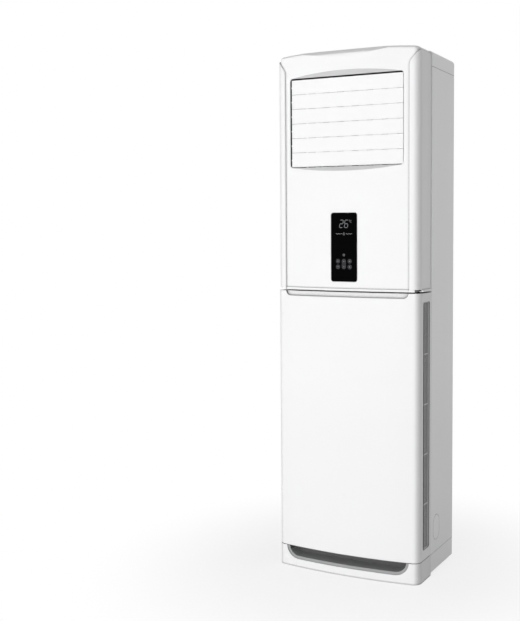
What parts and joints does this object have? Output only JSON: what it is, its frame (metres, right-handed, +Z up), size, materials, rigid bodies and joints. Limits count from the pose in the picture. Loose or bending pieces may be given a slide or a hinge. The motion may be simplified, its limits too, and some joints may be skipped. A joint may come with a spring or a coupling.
{
  "type": "floor standing air conditioner",
  "caption": "Tall white floor standing air conditioner: bulged front, louvred air outlet above a black control window, pull-off lower panel with side intakes.",
  "frame": {"origin": "middle of the footprint, on the floor", "axes": "+Z up, -Y out of the front, +X to the right seen from the front"},
  "size_m": [0.5, 0.316, 1.664],
  "materials": {
    "white_panel": "satin white moulded plastic, fine even gloss",
    "white_sheet": "white powder-coated sheet steel",
    "grey_lip": "light grey moulded plastic",
    "dark_plastic": "dark matt plastic",
    "louvre_white": "white moulded plastic, slightly matt",
    "black_window": "black gloss window",
    "key_black": "black gloss key caps",
    "filter_grey": "grey fine-mesh filter",
    "grille_grey": "light grey moulded plastic",
    "rubber": "black rubber",
    "galvanised": "zinc-coated sheet steel",
    "steel": "bright steel",
    "fin_aluminium": "aluminium fins",
    "copper": "bare copper tube",
    "fan_black": "glass-filled black plastic",
    "motor_paint": "dark painted motor can",
    "foam": "white expanded foam",
    "pan_plastic": "light plastic drain pan",
    "hose_grey": "grey flexible hose",
    "board_green": "green circuit board",
    "terminal_cream": "cream terminal block",
    "nylon_white": "natural nylon"
  },
  "bodies": {
    "cabinet": {"base_pan": "white_sheet", "rubber_feet": "rubber", "plinth_cover": "white_panel", "plinth_recess_lip": "grey_lip", "plinth_recess_liner": "dark_plastic", "left_side_panel": "white_sheet", "right_side_panel": "white_sheet", "pipe_hole_cap": "white_panel", "back_panel": "white_sheet", "top_cover": "white_sheet", "cabinet_screws": "steel", "upper_front_panel": "white_panel", "outlet_frame": "dark_plastic", "louvre_motor": "steel", "vane_motor": "steel", "display_window": "black_window", "display_board": "board_green", "inlet_bulkhead": "galvanised", "blower_housing": "galvanised", "fan_motor": "motor_paint", "motor_bracket": "galvanised", "partition_plate": "galvanised", "evaporator_fins": "fin_aluminium", "coil_end_plates": "galvanised", "evaporator_tubes": "copper", "drain_pan": "pan_plastic", "drain_hose": "hose_grey", "refrigerant_pipes": "copper", "duct_front_wall": "galvanised", "duct_elbow": "foam", "electric_box": "galvanised", "electric_box_cover": "galvanised", "control_board": "board_green", "terminal_block": "terminal_cream"},
    "fan": {"fan_wheel": "fan_black", "fan_shaft": "steel"},
    "lower_panel": {"lower_front_panel": "white_panel", "intake_grilles": "grille_grey", "intake_filters": "filter_grey"},
    "louvre_link": {"louvre_link_bar": "nylon_white"},
    "vane_link": {"vane_link_bar": "nylon_white"},
    "louvre_1": {"louvre_blade_1": "louvre_white"},
    "louvre_2": {"louvre_blade_2": "louvre_white"},
    "louvre_3": {"louvre_blade_3": "louvre_white"},
    "louvre_4": {"louvre_blade_4": "louvre_white"},
    "louvre_5": {"louvre_blade_5": "louvre_white"},
    "louvre_6": {"louvre_blade_6": "louvre_white"},
    "vane_1": {"guide_vane_1": "dark_plastic"},
    "vane_2": {"guide_vane_2": "dark_plastic"},
    "vane_3": {"guide_vane_3": "dark_plastic"},
    "vane_4": {"guide_vane_4": "dark_plastic"},
    "vane_5": {"guide_vane_5": "dark_plastic"},
    "vane_6": {"guide_vane_6": "dark_plastic"},
    "vane_7": {"guide_vane_7": "dark_plastic"},
    "power_key": {"power_key": "key_black"},
    "mode_key": {"mode_key": "key_black"},
    "temp_up_key": {"temp_up_key": "key_black"},
    "temp_down_key": {"temp_down_key": "key_black"},
    "fan_speed_key": {"fan_speed_key": "key_black"},
    "swing_key": {"swing_key": "key_black"}
  },
  "joints": [
    {"name": "fan_spin", "type": "hinge", "parent": "cabinet", "child": "fan", "pos_m": [-0.012, 0.028, 0.365], "axis": [0, 1, 0], "continuous": true},
    {"name": "lower_panel_pull", "type": "slide", "parent": "cabinet", "child": "lower_panel", "axis": [0, -1, 0], "range_m": [0, 0.16]},
    {"name": "louvre_1_tilt", "type": "hinge", "parent": "cabinet", "child": "louvre_1", "pos_m": [0, -0.132, 1.5556], "axis": [1, 0, 0], "range_deg": [0, 80]},
    {"name": "louvre_2_tilt", "type": "hinge", "parent": "cabinet", "child": "louvre_2", "pos_m": [0, -0.132, 1.5096], "axis": [1, 0, 0], "range_deg": [0, 80]},
    {"name": "louvre_3_tilt", "type": "hinge", "parent": "cabinet", "child": "louvre_3", "pos_m": [0, -0.132, 1.4636], "axis": [1, 0, 0], "range_deg": [0, 80]},
    {"name": "louvre_4_tilt", "type": "hinge", "parent": "cabinet", "child": "louvre_4", "pos_m": [0, -0.132, 1.4176], "axis": [1, 0, 0], "range_deg": [0, 80]},
    {"name": "louvre_5_tilt", "type": "hinge", "parent": "cabinet", "child": "louvre_5", "pos_m": [0, -0.132, 1.3716], "axis": [1, 0, 0], "range_deg": [0, 80]},
    {"name": "louvre_6_tilt", "type": "hinge", "parent": "cabinet", "child": "louvre_6", "pos_m": [0, -0.132, 1.3256], "axis": [1, 0, 0], "range_deg": [0, 80]},
    {"name": "louvre_link_swing", "type": "hinge", "parent": "louvre_1", "child": "louvre_link", "pos_m": [0.2073, -0.118, 1.5556], "axis": [1, 0, 0], "range_deg": [-80, 0]},
    {"name": "vane_1_swing", "type": "hinge", "parent": "cabinet", "child": "vane_1", "pos_m": [-0.156, -0.074, 1.4416], "axis": [0, 0, 1], "range_deg": [-35, 35]},
    {"name": "vane_2_swing", "type": "hinge", "parent": "cabinet", "child": "vane_2", "pos_m": [-0.104, -0.074, 1.4416], "axis": [0, 0, 1], "range_deg": [-35, 35]},
    {"name": "vane_3_swing", "type": "hinge", "parent": "cabinet", "child": "vane_3", "pos_m": [-0.052, -0.074, 1.4416], "axis": [0, 0, 1], "range_deg": [-35, 35]},
    {"name": "vane_4_swing", "type": "hinge", "parent": "cabinet", "child": "vane_4", "pos_m": [0, -0.074, 1.4416], "axis": [0, 0, 1], "range_deg": [-35, 35]},
    {"name": "vane_5_swing", "type": "hinge", "parent": "cabinet", "child": "vane_5", "pos_m": [0.052, -0.074, 1.4416], "axis": [0, 0, 1], "range_deg": [-35, 35]},
    {"name": "vane_6_swing", "type": "hinge", "parent": "cabinet", "child": "vane_6", "pos_m": [0.104, -0.074, 1.4416], "axis": [0, 0, 1], "range_deg": [-35, 35]},
    {"name": "vane_7_swing", "type": "hinge", "parent": "cabinet", "child": "vane_7", "pos_m": [0.156, -0.074, 1.4416], "axis": [0, 0, 1], "range_deg": [-35, 35]},
    {"name": "vane_link_swing", "type": "hinge", "parent": "vane_1", "child": "vane_link", "pos_m": [-0.156, -0.056, 1.44], "axis": [0, 0, 1], "range_deg": [-35, 35]},
    {"name": "power_key_press", "type": "slide", "parent": "cabinet", "child": "power_key", "axis": [0, 1, 0], "range_m": [0, 0.001], "stiffness_N_per_m": 600},
    {"name": "mode_key_press", "type": "slide", "parent": "cabinet", "child": "mode_key", "axis": [0, 1, 0], "range_m": [0, 0.001], "stiffness_N_per_m": 600},
    {"name": "temp_up_key_press", "type": "slide", "parent": "cabinet", "child": "temp_up_key", "axis": [0, 1, 0], "range_m": [0, 0.001], "stiffness_N_per_m": 600},
    {"name": "temp_down_key_press", "type": "slide", "parent": "cabinet", "child": "temp_down_key", "axis": [0, 1, 0], "range_m": [0, 0.001], "stiffness_N_per_m": 600},
    {"name": "fan_speed_key_press", "type": "slide", "parent": "cabinet", "child": "fan_speed_key", "axis": [0, 1, 0], "range_m": [0, 0.001], "stiffness_N_per_m": 600},
    {"name": "swing_key_press", "type": "slide", "parent": "cabinet", "child": "swing_key", "axis": [0, 1, 0], "range_m": [0, 0.001], "stiffness_N_per_m": 600}
  ],
  "couplings": [
    {"joint": "louvre_2_tilt", "follows": "louvre_1_tilt", "ratio": 1},
    {"joint": "louvre_3_tilt", "follows": "louvre_1_tilt", "ratio": 1},
    {"joint": "louvre_4_tilt", "follows": "louvre_1_tilt", "ratio": 1},
    {"joint": "louvre_5_tilt", "follows": "louvre_1_tilt", "ratio": 1},
    {"joint": "louvre_6_tilt", "follows": "louvre_1_tilt", "ratio": 1},
    {"joint": "louvre_link_swing", "follows": "louvre_1_tilt", "ratio": -1},
    {"joint": "vane_2_swing", "follows": "vane_1_swing", "ratio": 1},
    {"joint": "vane_3_swing", "follows": "vane_1_swing", "ratio": 1},
    {"joint": "vane_4_swing", "follows": "vane_1_swing", "ratio": 1},
    {"joint": "vane_5_swing", "follows": "vane_1_swing", "ratio": 1},
    {"joint": "vane_6_swing", "follows": "vane_1_swing", "ratio": 1},
    {"joint": "vane_7_swing", "follows": "vane_1_swing", "ratio": 1},
    {"joint": "vane_link_swing", "follows": "vane_1_swing", "ratio": -1}
  ]
}
